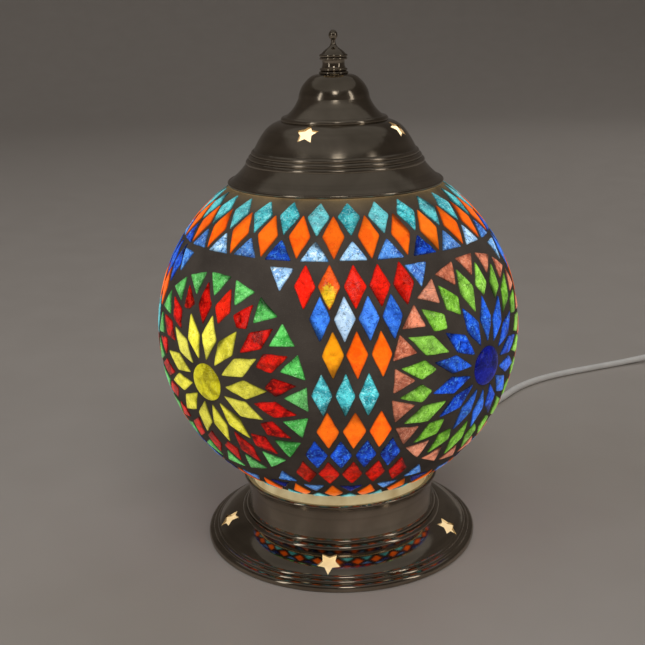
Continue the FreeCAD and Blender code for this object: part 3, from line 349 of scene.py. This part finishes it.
def grout_material():
    """Sandy dark cement, a little lighter where it has been rubbed, and warm with light near the mouth."""
    material, tree, shader = new_material("grout")
    patch = noise(tree, 60.0, 4.0)
    sand = noise(tree, 2600.0, 3.0)
    body = blend_colours(tree, spread(tree, patch, 0, 1), CEMENT_DARK, CEMENT_LIGHT)
    body = blend_colours(tree, spread(tree, sand, 0, 0.35, 0.55, 0.75), body, CEMENT_SAND)
    tree.links.new(body, shader.inputs["Base Color"])
    shader.inputs["Roughness"].default_value = 0.82
    height = axis_parts(tree)[2]
    near_mouth = spread(tree, height, 0.0, 1.0, MOUTH_GLOW_FROM, MOUTH_GLOW_FULL)
    warm = blend_colours(tree, near_mouth, (0.0, 0.0, 0.0), MOUTH_GLOW)
    warm = blend_colours(tree, 1.0, warm, spread(tree, patch, 0.4, 1.2), "MULTIPLY")
    tree.links.new(warm, shader.inputs["Emission Color"])
    shader.inputs["Emission Strength"].default_value = 1.0
    bump(tree, shader, sand, 0.7, 0.12 * MM)
    return material


# Deep, clear and pale shades, share of pale flecks and dark creases, strength of the fine relief.
GLASS_SHADES = {
    "turquoise": ((0.02, 0.27, 0.32), (0.09, 0.60, 0.63), (0.50, 0.95, 0.95), 0.7, 0.2),
    "orange": ((0.90, 0.09, 0.002), (1.0, 0.14, 0.003), (1.0, 0.30, 0.015), 0.2, 0.1),
    "light_blue": ((0.10, 0.30, 0.62), (0.38, 0.66, 0.92), (0.88, 0.98, 1.0), 0.85, 0.3),
    "steel_blue": ((0.02, 0.08, 0.36), (0.07, 0.26, 0.72), (0.42, 0.70, 1.0), 0.75, 0.3),
    "royal_blue": ((0.002, 0.015, 0.19), (0.008, 0.08, 0.66), (0.12, 0.45, 1.0), 0.6, 0.18),
    "navy": ((0.003, 0.005, 0.06), (0.008, 0.014, 0.18), (0.03, 0.07, 0.45), 0.5, 0.3),
    "red": ((0.14, 0.0, 0.0), (0.56, 0.004, 0.002), (0.95, 0.04, 0.008), 0.5, 0.22),
    "yellow": ((0.46, 0.41, 0.015), (0.76, 0.68, 0.05), (0.98, 0.94, 0.24), 0.4, 0.15),
    "green": ((0.03, 0.26, 0.035), (0.10, 0.52, 0.10), (0.42, 0.90, 0.38), 0.6, 0.16),
    "lime": ((0.08, 0.24, 0.008), (0.20, 0.50, 0.035), (0.50, 0.85, 0.20), 0.6, 0.16),
    "terracotta": ((0.30, 0.07, 0.035), (0.66, 0.20, 0.105), (0.95, 0.50, 0.33), 0.5, 0.16),
}
PEBBLE_SHADES = {
    "yellow": ((0.26, 0.22, 0.004), (0.50, 0.44, 0.01), (0.80, 0.78, 0.12), 0.35, 0.15),
    "blue": ((0.001, 0.002, 0.05), (0.003, 0.006, 0.17), (0.05, 0.08, 0.55), 0.35, 0.15),
}


# ---- globe ----
def on_globe(points, depth):
    """Moves points near the globe to the given depth under its tile surface."""
    reach = np.hypot(points[:, 0], points[:, 1])
    turn = np.arctan2(points[:, 0], -points[:, 1])
    tilt = np.arctan2(points[:, 2] - GLOBE_Z, reach - ARC_OFFSET)
    radius = ARC_RADIUS - depth
    out = ARC_OFFSET + radius * np.cos(tilt)
    return np.stack([out * np.sin(turn), -out * np.cos(turn), GLOBE_Z + radius * np.sin(tilt)], 1)


def separate_solids(mesh):
    """The corner points of each separate solid in a CAD node."""
    places = {}
    index = []
    for vertex in mesh.vertices:
        key = tuple(round(value, 5) for value in vertex.co)
        index.append(places.setdefault(key, len(places)))
    leader = list(range(len(places)))

    def root(k):
        while leader[k] != k:
            leader[k] = leader[leader[k]]
            k = leader[k]
        return k

    for polygon in mesh.polygons:
        corners = [index[v] for v in polygon.vertices]
        for corner in corners[1:]:
            leader[root(corner)] = root(corners[0])
    groups = {}
    for place, k in places.items():
        groups.setdefault(root(k), []).append(place)
    return [np.array(group) for group in groups.values()]


def tangent_axes(centre):
    """East, north and outward at a point of the globe."""
    reach = math.hypot(centre[0], centre[1])
    turn = math.atan2(centre[0], -centre[1])
    tilt = math.atan2(centre[2] - GLOBE_Z, reach - ARC_OFFSET)
    out = np.array([math.cos(tilt) * math.sin(turn), -math.cos(tilt) * math.cos(turn), math.sin(tilt)])
    east = np.array([math.cos(turn), math.sin(turn), 0.0])
    return east, np.cross(out, east), out


def softened_outline(corners, chance):
    """Hand-cut outline: rounded corners and edges that bow a little."""
    count = len(corners)
    outline = []
    for k in range(count):
        here, before, after = corners[k], corners[k - 1], corners[(k + 1) % count]
        back, ahead = before - here, after - here
        cut = chance.uniform(0.55, 1.15) * MM
        start = here + back / np.linalg.norm(back) * cut
        end = here + ahead / np.linalg.norm(ahead) * cut
        for share in (0.0, 0.33, 0.67, 1.0):
            outline.append((1 - share) ** 2 * start + 2 * share * (1 - share) * here + share ** 2 * end)
        cut_after = after + (here - after) / np.linalg.norm(ahead) * 0.8 * MM
        across = np.array([ahead[1], -ahead[0]]) / np.linalg.norm(ahead)
        for share in (0.33, 0.67):
            bow = chance.uniform(-0.14, 0.16) * MM
            outline.append(end + (cut_after - end) * share + across * bow)
    return np.array(outline)


def ripples(points, chance, size):
    """A relief of a few crossing waves, as in rolled cathedral glass."""
    height = np.zeros(len(points))
    for _ in range(7):
        angle = chance.uniform(0, 2 * math.pi)
        wave = chance.uniform(1.8, 5.0) * MM
        phase = chance.uniform(0, 2 * math.pi)
        along = points[:, 0] * math.cos(angle) + points[:, 1] * math.sin(angle)
        height += np.sin(along * 2 * math.pi / wave + phase)
    return height * size / 7 ** 0.5


GLOW_HEIGHT, GLOW_SPREAD = 0.118, 0.054       # where the glass is brightest, and over how much of it
GLOW_LEAST, GLOW_GAIN = 0.60, 0.44


def glow_at(height):
    """Brightness of the glass by height: most beside the bulb, least over the lampholder."""
    return GLOW_LEAST + GLOW_GAIN * math.exp(-((height - GLOW_HEIGHT) / GLOW_SPREAD) ** 2)


# Tiles of another shade than their colour's: azimuth, latitude, share and colour. The near-white blue tile
# in front is a painted highlight of the bulb shining through, and the red tile at -2.8 degrees carries the
# painted spot of the bulb.
TINTS_AND_GLOWS = {
    "red": [(-2.8, 27.0, 0.9, (1.0, 0.13, 0.01)), (-10.0, 27.0, 0.8, (0.95, 0.012, 0.004)),
            (5.4, 27.0, 0.8, (0.90, 0.010, 0.004)), (13.1, 27.0, 0.8, (0.95, 0.012, 0.004)),
            (20.8, 27.0, 0.8, (0.95, 0.012, 0.004))],
    "royal_blue": [(-5.1, 18.0, 0.75, (0.05, 0.22, 0.85)), (1.9, 18.0, 0.95, (0.72, 0.90, 1.0)),
                   (8.9, 18.0, 0.8, (0.08, 0.28, 0.95)), (15.9, 18.0, 0.75, (0.05, 0.22, 0.88))],
    "orange": [(-1.5, 7.8, 0.9, (1.0, 0.40, 0.004))],
}
SPOT_SHARE = 0.9              # a tile tinted this much has the painted spot of the bulb too
# Painted light: the bulb seen through the glass, as a stretched yellow spot on one red tile: colour, place
# and size.
SPOT_STRETCH = 1.6
PAINTED_BULB_SPOT = {"red": ((1.0, 0.62, 0.02), (-0.0004, -0.0035), 0.0028)}


def tint_and_glow_of(colour, centre):
    """The colour and share that a tile is tinted with, or none."""
    azimuth = math.degrees(math.atan2(centre[0], -centre[1]))
    height = math.degrees(math.atan2(centre[2] - GLOBE_Z, math.hypot(centre[0], centre[1]) - ARC_OFFSET))
    for near_azimuth, near_height, share, shade in TINTS_AND_GLOWS.get(colour, []):
        if abs(azimuth - near_azimuth) < 2.5 and abs(height - near_height) < 3.5:
            return (*shade, share)
    return None


FACE_PROUD = 0.04             # mm that a tile's face stands above the globe's surface
# Inset and depth in mm of a tile's outer rings, and how much of the light shows there.
RINGS = [(0.0, 1.9, 0.1), (0.0, 0.42, 0.15), (0.05, 0.16, 0.3), (0.22, 0.02, 0.55), (0.5, -FACE_PROUD, 0.82)]
SHARES = (0.78, 0.56, 0.34, 0.14)     # size of the rings on the face
UNTINTED = (0.0, 0.0, 0.0, 0.0)


def build_tile(points, chance, ripple, mesh, colour):
    """One tile: walls down into the grout, a rounded edge and a rippled face."""
    verts, faces, colours, tints_and_glows = mesh
    paleness = max(0.0, chance.gauss(0.04, 0.09))
    centre = points.mean(0)
    east, north, out = tangent_axes(centre)
    height = (points - centre) @ out
    top = points[height > 0]
    flat = np.stack([(top - centre) @ east, (top - centre) @ north], 1)
    middle = flat.mean(0)
    flat = flat[np.argsort(np.arctan2(flat[:, 1] - middle[1], flat[:, 0] - middle[0]))]
    outline = softened_outline(flat, chance)
    following = np.roll(outline, -1, 0)
    doubled = abs(np.sum(outline[:, 0] * following[:, 1] - following[:, 0] * outline[:, 1]))
    inner_radius = doubled / np.linalg.norm(following - outline, axis=1).sum()
    count = len(outline)
    base = len(verts)
    layers = [(1 - inset * MM / inner_radius, depth * MM, 0.0, rim) for inset, depth, rim in RINGS]
    edge = layers[-1][0]
    layers += [(edge * share, -FACE_PROUD * MM, 1.0, 1.0) for share in SHARES]
    seed = chance.random()
    bright = glow_at(centre[2]) * chance.uniform(0.82, 1.12)
    dark_side = chance.uniform(0, 2 * math.pi)
    darkness = min(0.8, max(0.0, chance.gauss(0.25, 0.35)))
    side = np.array([math.cos(dark_side), math.sin(dark_side)])
    reach = ((outline - middle) @ side).max()
    tint_and_glow = tint_and_glow_of(colour, centre)
    spot_colour, spot_place, spot_size = PAINTED_BULB_SPOT.get(colour, (None, (0, 0), 1))
    for scale, depth, relief, rim in layers:
        ring = middle + (outline - middle) * scale
        lift = ripples(ring, random.Random(seed), ripple) * relief
        solid = centre + ring[:, :1] * east + ring[:, 1:] * north
        verts.extend(map(tuple, on_globe(solid, depth - lift)))
        for along in (ring - middle) @ side / reach:
            shaded = 1 - darkness * min(1.0, max(0.0, (along - 0.35) / 0.3))
            colours.append((bright * rim * shaded, paleness, seed, 1.0))
        # Painted light: points under the bulb's spot take the spot's colour.
        for place in ring:
            off = place - middle - spot_place
            away = math.hypot(off[0], off[1] / SPOT_STRETCH)
            hot = tint_and_glow and spot_colour and tint_and_glow[3] >= SPOT_SHARE and away < spot_size
            tints_and_glows.append((*spot_colour, 1.0) if hot else tint_and_glow or UNTINTED)
    tip = centre + middle[0] * east + middle[1] * north
    lift = ripples(middle[None, :], random.Random(seed), ripple)
    verts.extend(map(tuple, on_globe(tip[None, :], -FACE_PROUD * MM - lift)))
    colours.append((bright, paleness, seed, 1.0))
    tints_and_glows.append(tint_and_glow or UNTINTED)
    for layer in range(len(layers) - 1):
        low, high = base + layer * count, base + (layer + 1) * count
        for k in range(count):
            after = (k + 1) % count
            faces.append((low + k, low + after, high + after, high + k))
    last = base + (len(layers) - 1) * count
    for k in range(count):
        faces.append((last + k, last + (k + 1) % count, len(verts) - 1))
    faces.append(tuple(base + k for k in reversed(range(count))))


def mesh_piece(name, verts, faces, material, body, smooth_angle, colours=None, tints_and_glows=None):
    """A piece from a mesh, with each point's light and tint where its material reads them."""
    mesh = bpy.data.meshes.new(name)
    mesh.from_pydata([tuple(v) for v in verts], [], faces)
    mesh.validate()
    for key, values in (("tile", colours), ("tint_and_glow", tints_and_glows)):
        if values:
            layer = mesh.color_attributes.new(key, "FLOAT_COLOR", "POINT")
            layer.data.foreach_set("color", np.array(values, np.float32).ravel())
    mesh.materials.append(material)
    mesh.shade_smooth()
    mesh.set_sharp_from_angle(angle=math.radians(smooth_angle))
    piece = bpy.data.objects.new(name, mesh)
    bpy.context.scene.collection.objects.link(piece)
    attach(piece, body)
    return piece


RIPPLE = {"orange": 0.03, "yellow": 0.05, "red": 0.07}        # mm
OTHER_RIPPLE = 0.10


def make_tiles():
    """A piece for each colour, with every tile of that colour in it."""
    chance = random.Random(11)
    for colour, looks in GLASS_SHADES.items():
        material = tile_glass("glass_" + colour, *looks)
        mesh = [], [], [], []
        for points in separate_solids(frame["nodes"]["tiles_" + colour].data):
            build_tile(points, chance, RIPPLE.get(colour, OTHER_RIPPLE) * MM, mesh, colour)
        verts, faces, colours, tints_and_glows = mesh
        piece = mesh_piece("mosaic_" + colour, verts, faces, material, "root", 42.0,
                           colours, tints_and_glows)
        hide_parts("tiles_" + colour)


PEBBLE_AROUND, PEBBLE_LAYERS = 56, 16
PEBBLE_WALL_LAYERS, PEBBLE_WALL_STEP = 3, 0.9 * MM
PEBBLE_DOME_POWER = 0.62      # below 1 the dome is fuller than a half-ellipse


def make_cabochon(node, material):
    """Moulded glass pebbles with a slightly uneven dome."""
    verts, faces, colours = [], [], []
    chance = random.Random(5)
    for points in separate_solids(frame["nodes"][node].data):
        centre = (points.max(0) + points.min(0)) / 2
        east, north, out = tangent_axes(centre)
        centre = points.mean(0)
        foot = ((points - centre) @ out).min()
        top = ((points - centre) @ out).max()
        across = points - centre - ((points - centre) @ out)[:, None] * out
        radius = np.linalg.norm(across, axis=1).max() - 0.1 * MM
        count, layers = PEBBLE_AROUND, PEBBLE_LAYERS
        dome_foot = foot + PEBBLE_WALL_STEP * (PEBBLE_WALL_LAYERS - 1)
        base = len(verts)
        wobble = [chance.uniform(0, 2 * math.pi) for _ in range(3)]
        for layer in range(layers):
            if layer < PEBBLE_WALL_LAYERS:
                scale, level = 1.0, foot + PEBBLE_WALL_STEP * layer
            else:
                share = (layer - PEBBLE_WALL_LAYERS) / (layers - PEBBLE_WALL_LAYERS)
                angle = share * math.pi / 2
                scale = math.cos(angle) ** PEBBLE_DOME_POWER
                level = dome_foot + (top - dome_foot) * math.sin(angle)
            for k in range(count):
                turn = 2 * math.pi * k / count
                uneven = 1 + 0.012 * math.sin(2 * turn + wobble[0]) + 0.008 * math.sin(3 * turn + wobble[1])
                reach = radius * scale * uneven * 0.985
                spoke = east * math.cos(turn) + north * math.sin(turn)
                verts.append(tuple(centre + spoke * reach + out * level))
                # Painted shade: each pebble's light is dimmer towards its foot.
                rim = min(1.0, 0.25 + 0.14 * layer)
                colours.append((glow_at(centre[2]) * rim, 0.0, wobble[2], 1.0))
        verts.append(tuple(centre + out * top))
        colours.append((glow_at(centre[2]), 0.0, wobble[2], 1.0))
        for layer in range(layers - 1):
            for k in range(count):
                low, after = base + layer * count, (k + 1) % count
                faces.append((low + k, low + after, low + count + after, low + count + k))
        last = base + (layers - 1) * count
        for k in range(count):
            faces.append((last + k, last + (k + 1) % count, len(verts) - 1))
        faces.append(tuple(base + k for k in reversed(range(count))))
    piece = mesh_piece("pebble_" + node.split("_")[1], verts, faces, material, "root", 50.0,
                       colours, [UNTINTED] * len(verts))
    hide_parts(node)


GROUT_WAVE = 0.028 * MM
WIPED_TILT = 57               # degrees; the rims beyond this are left true


def make_grout():
    """One closed band of cement, wiped by hand so that it isn't quite even."""
    outside, inside, around = 130, 30, 260
    foot, top = GROUT_TILTS
    rows = [(foot + (top - foot) * k / outside, GROUT_FACE_DEPTH, True) for k in range(outside + 1)]
    rows += [(top - (top - foot) * k / inside, GROUT_BACK_DEPTH, False) for k in range(inside + 1)]
    chance = random.Random(3)
    waves = [(chance.gauss(0, 1), chance.gauss(0, 1), chance.gauss(0, 1), chance.uniform(0, 6.3),
              chance.uniform(3.0, 12.0) * MM) for _ in range(18)]
    turns = np.linspace(0, 2 * math.pi, around, endpoint=False)
    verts = []
    for tilt, depth, shown in rows:
        angle = math.radians(tilt)
        radius = ARC_RADIUS - depth
        reach = ARC_OFFSET + radius * math.cos(angle)
        ring = np.stack([reach * np.sin(turns), -reach * np.cos(turns),
                         np.full(around, GLOBE_Z + radius * math.sin(angle))], 1)
        if shown and abs(tilt) < WIPED_TILT:
            lift = np.zeros(around)
            for a, b, c, phase, wave in waves:
                size = math.sqrt(a * a + b * b + c * c)
                along = (ring[:, 0] * a + ring[:, 1] * b + ring[:, 2] * c) / size
                lift += np.sin(along * 2 * math.pi / wave + phase)
            ring = on_globe(ring, depth - lift * GROUT_WAVE)
        verts.extend(map(tuple, ring))
    total = len(rows)
    faces = []
    for row in range(total):
        low, high = row * around, (row + 1) % total * around
        for k in range(around):
            after = (k + 1) % around
            faces.append((low + k, low + after, high + after, high + k))
    piece = mesh_piece("grout_skin", verts, faces, grout_material(), "root", 60.0)
    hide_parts("grout")


make_tiles()
for pebble_colour, pebble_looks in PEBBLE_SHADES.items():
    make_cabochon("cabochon_" + pebble_colour, tile_glass("glass_pebble_" + pebble_colour, *pebble_looks))
make_grout()

# ---- the CAD parts' own materials ----
WHITE = ((0.78, 0.78, 0.76), (0.82, 0.82, 0.80))
finishes = {
    "spun_metal": spun_metal("spun_metal", (0.07, 0.14), 40.0, (0.66, 0.48, 0.24)),
    "frosted_glass": lit_glass("frosted_glass", (0.45, 0.31, 0.12), (0.80, 0.66, 0.36), 0.5, 120.0),
    "bulb_glass": lit_glass("bulb_glass", (1.0, 0.72, 0.38), (1.0, 0.80, 0.48), 9.0),
    "steel": surface("steel", (0.42, 0.41, 0.38), (0.58, 0.57, 0.54), (0.28, 0.42), 1.0, 300.0, 0.01),
    "fasteners": surface("fasteners", (0.45, 0.45, 0.46), (0.62, 0.62, 0.63),
                         (0.22, 0.36), 1.0, 900.0, 0.01),
    "brass": surface("brass", (0.62, 0.42, 0.16), (0.76, 0.56, 0.26), (0.22, 0.38), 1.0, 700.0, 0.01),
    "plug_metal": surface("plug_metal", (0.60, 0.58, 0.54), (0.74, 0.72, 0.68),
                          (0.16, 0.28), 1.0, 700.0, 0.006),
    "cap_metal": surface("cap_metal", (0.58, 0.57, 0.54), (0.70, 0.69, 0.66),
                         (0.24, 0.38), 1.0, 500.0, 0.01),
    "felt": surface("felt", (0.012, 0.012, 0.014), (0.045, 0.045, 0.05), (0.9, 1.0), 0.0, 1800.0, 0.25),
    "rubber": surface("rubber", (0.45, 0.44, 0.41), (0.58, 0.57, 0.53), (0.5, 0.65), 0.0, 500.0, 0.03),
    "holder_plastic": surface("holder_plastic", *WHITE, (0.34, 0.44), 0.0, 1200.0, 0.01),
    "ceramic": surface("ceramic", (0.72, 0.70, 0.66), (0.82, 0.80, 0.77),
                       (0.12, 0.22), 0.0, 250.0, 0.02, coat=0.4),
    "ceramic_black": surface("ceramic_black", (0.01, 0.01, 0.01), (0.03, 0.03, 0.03),
                             (0.1, 0.2), 0.0, 250.0),
    "wire_brown": surface("wire_brown", (0.11, 0.04, 0.015), (0.17, 0.07, 0.03), (0.35, 0.45)),
    "wire_blue": surface("wire_blue", (0.01, 0.05, 0.30), (0.02, 0.08, 0.42), (0.35, 0.45)),
    "cord_pvc": surface("cord_pvc", (0.72, 0.72, 0.71), (0.80, 0.80, 0.79),
                        (0.38, 0.50), 0.0, 1500.0, 0.02),
    "tie": surface("tie", (0.02, 0.02, 0.02), (0.05, 0.05, 0.05), (0.4, 0.55), 0.0, 900.0, 0.05),
    "white_plastic": surface("white_plastic", *WHITE, (0.26, 0.36), 0.0, 1600.0, 0.012, coat=0.1),
}
lead.data.materials.append(finishes["cord_pvc"])
tail.data.materials.append(finishes["cord_pvc"])
for name, node in frame["nodes"].items():
    finish = finishes.get(slot_of[name])
    if finish:
        node.data.materials.clear()
        node.data.materials.append(finish)
satin = spun_metal("satin_metal", (0.12, 0.25), 130.0, (1.3, 1.0, 0.62))
frame["nodes"]["cap_shell"].data.materials[0] = satin
# Painted light: the bottom plate glows as if lit by the bulb, seen through the stars of the base.
painted_base_glow = lit_glass("lit_base_floor", (0.74, 0.56, 0.30), (1.0, 0.84, 0.56), 0.45, 60.0)
frame["nodes"]["bottom_plate"].data.materials[0] = painted_base_glow


# ---- floor and light ----
FLOOR_REACH, CURVE_RADIUS, BACKDROP_TOP = 2.0, 1.2, 3.0


def make_stage():
    """A plain floor that curves up into a backdrop on every side."""
    profile = [(0.0, 0.0), (0.5, 0.0), (1.2, 0.0), (FLOOR_REACH, 0.0)]
    for k in range(1, 13):
        angle = math.radians(7.5 * k)
        profile.append((FLOOR_REACH + CURVE_RADIUS * math.sin(angle), CURVE_RADIUS * (1 - math.cos(angle))))
    profile.append((FLOOR_REACH + CURVE_RADIUS, BACKDROP_TOP))
    around = 96
    verts, faces = [], []
    for reach, height in profile:
        for k in range(around):
            angle = 2 * math.pi * k / around
            verts.append((reach * math.cos(angle), reach * math.sin(angle), height))
    for row in range(len(profile) - 1):
        for k in range(around):
            low, after = row * around, (k + 1) % around
            faces.append((low + k, low + after, low + around + after, low + around + k))
    mesh = bpy.data.meshes.new("floor")
    mesh.from_pydata(verts, [], faces)
    mesh.validate()
    mesh.shade_smooth()
    mesh.materials.append(surface("floor", (0.45, 0.415, 0.385), (0.47, 0.435, 0.405), (0.55, 0.62),
                                  0.0, 300.0, 0.01))
    floor = bpy.data.objects.new("floor", mesh)
    bpy.context.scene.collection.objects.link(floor)


def area_light(name, place, target, size, power, colour, mirrored):
    """A rectangular lamp; a mirrored one is seen in the metal and the glass."""
    light = bpy.data.lights.new(name, "AREA")
    light.shape = "RECTANGLE"
    light.size, light.size_y = size
    light.energy = power
    light.color = colour
    lamp = bpy.data.objects.new(name, light)
    lamp.location = place
    lamp.visible_glossy = mirrored
    lamp.rotation_mode = "QUATERNION"
    lamp.rotation_quaternion = (Vector(target) - Vector(place)).to_track_quat("-Z", "Y")
    bpy.context.scene.collection.objects.link(lamp)


def make_lights():
    world = bpy.data.worlds.new("room")
    world.use_nodes = True
    world.node_tree.nodes["Background"].inputs["Color"].default_value = (0.40, 0.38, 0.36, 1)
    world.node_tree.nodes["Background"].inputs["Strength"].default_value = 0.47
    bpy.context.scene.world = world
    middle = (0, 0, 0.1)
    area_light("key", (0.25, -1.1, 1.5), middle, (0.9, 0.9), 8.0, (1.0, 0.97, 0.93), False)
    area_light("fill", (-1.4, -0.4, 1.0), middle, (1.3, 1.3), 4.5, (0.96, 0.98, 1.0), False)
    area_light("back", (0.9, 1.3, 1.4), middle, (1.2, 1.2), 4.5, (1.0, 0.98, 0.95), False)
    area_light("window", (0.1, -1.3, 1.2), middle, (0.3, 0.3), 1.0, (1.0, 0.95, 0.88), True)
    area_light("left_strip", (-0.9, -0.8, 0.5), middle, (0.14, 0.9), 0.9, (1.0, 0.97, 0.92), True)
    area_light("right_strip", (0.95, -0.55, 0.5), middle, (0.12, 0.8), 0.7, (1.0, 0.95, 0.88), True)
    bpy.context.scene.view_settings.view_transform = "Standard"


make_stage()
make_lights()
